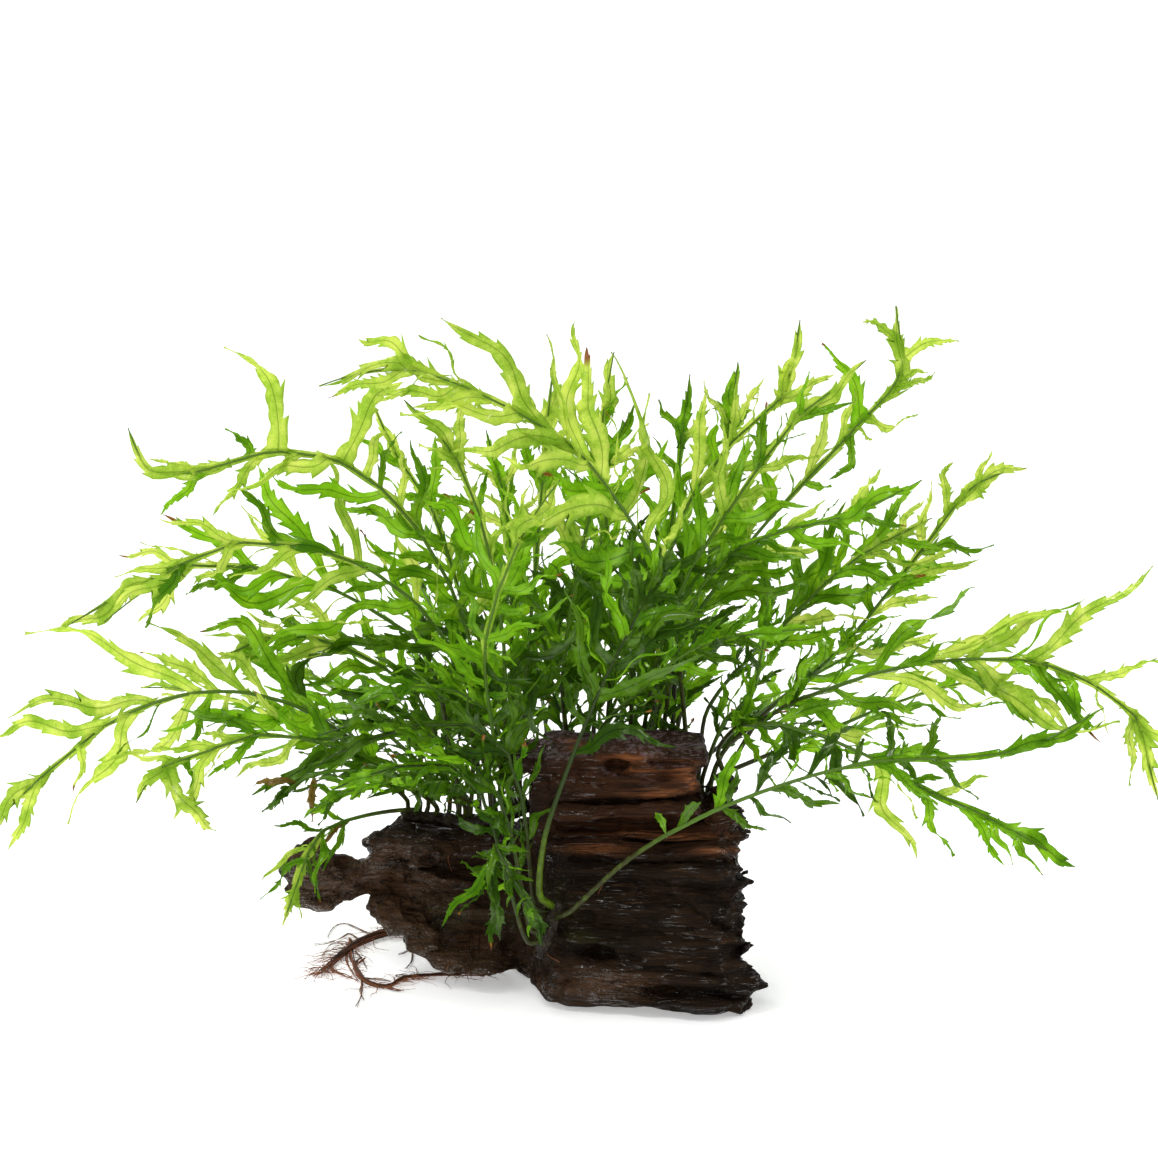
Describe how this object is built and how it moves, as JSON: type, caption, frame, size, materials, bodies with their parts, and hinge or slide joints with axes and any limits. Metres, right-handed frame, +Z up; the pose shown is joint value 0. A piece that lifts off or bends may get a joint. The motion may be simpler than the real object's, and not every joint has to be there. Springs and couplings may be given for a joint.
{
  "type": "african water fern on driftwood",
  "caption": "Aquarium fern with arching, lobed fronds and trailing roots, attached to a piece of driftwood that stands on its flat underside.",
  "frame": {"origin": "on the flat underside of the driftwood, near its middle, on the surface that it stands on", "axes": "+X to the right, along the driftwood and the widest spread of the fronds; +Y to the back; +Z up"},
  "size_m": [0.5514, 0.3119, 0.3271],
  "materials": {
    "driftwood": "satin",
    "rhizome": "matte",
    "root": "matte",
    "frond": "satin"
  },
  "bodies": {
    "root": {"driftwood_main": "driftwood", "driftwood_upper_block": "driftwood", "driftwood_back_spur": "driftwood", "driftwood_left_branch": "driftwood", "rhizome_left": "rhizome", "rhizome_back": "rhizome", "rhizome_front": "rhizome", "root_bundle": "root", "root_runner": "root", "frond_01": "frond", "frond_02": "frond", "frond_03": "frond", "frond_04": "frond", "frond_05": "frond", "frond_06": "frond", "frond_07": "frond", "frond_08": "frond", "frond_09": "frond", "frond_10": "frond", "frond_11": "frond", "frond_12": "frond", "frond_13": "frond", "frond_14": "frond", "frond_15": "frond", "frond_16": "frond", "frond_17": "frond", "frond_18": "frond", "frond_19": "frond", "frond_20": "frond", "frond_21": "frond", "frond_22": "frond", "frond_23": "frond", "frond_24": "frond", "frond_25": "frond", "frond_26": "frond", "frond_27": "frond", "frond_28": "frond", "frond_29": "frond", "frond_30": "frond", "frond_31": "frond", "frond_32": "frond", "frond_33": "frond", "frond_34": "frond", "frond_35": "frond", "frond_36": "frond", "frond_37": "frond", "frond_38": "frond", "frond_39": "frond", "frond_40": "frond", "frond_41": "frond", "frond_42": "frond", "frond_43": "frond", "frond_44": "frond", "frond_45": "frond", "frond_46": "frond", "frond_47": "frond", "frond_48": "frond", "frond_49": "frond", "frond_50": "frond"}
  },
  "joints": []
}
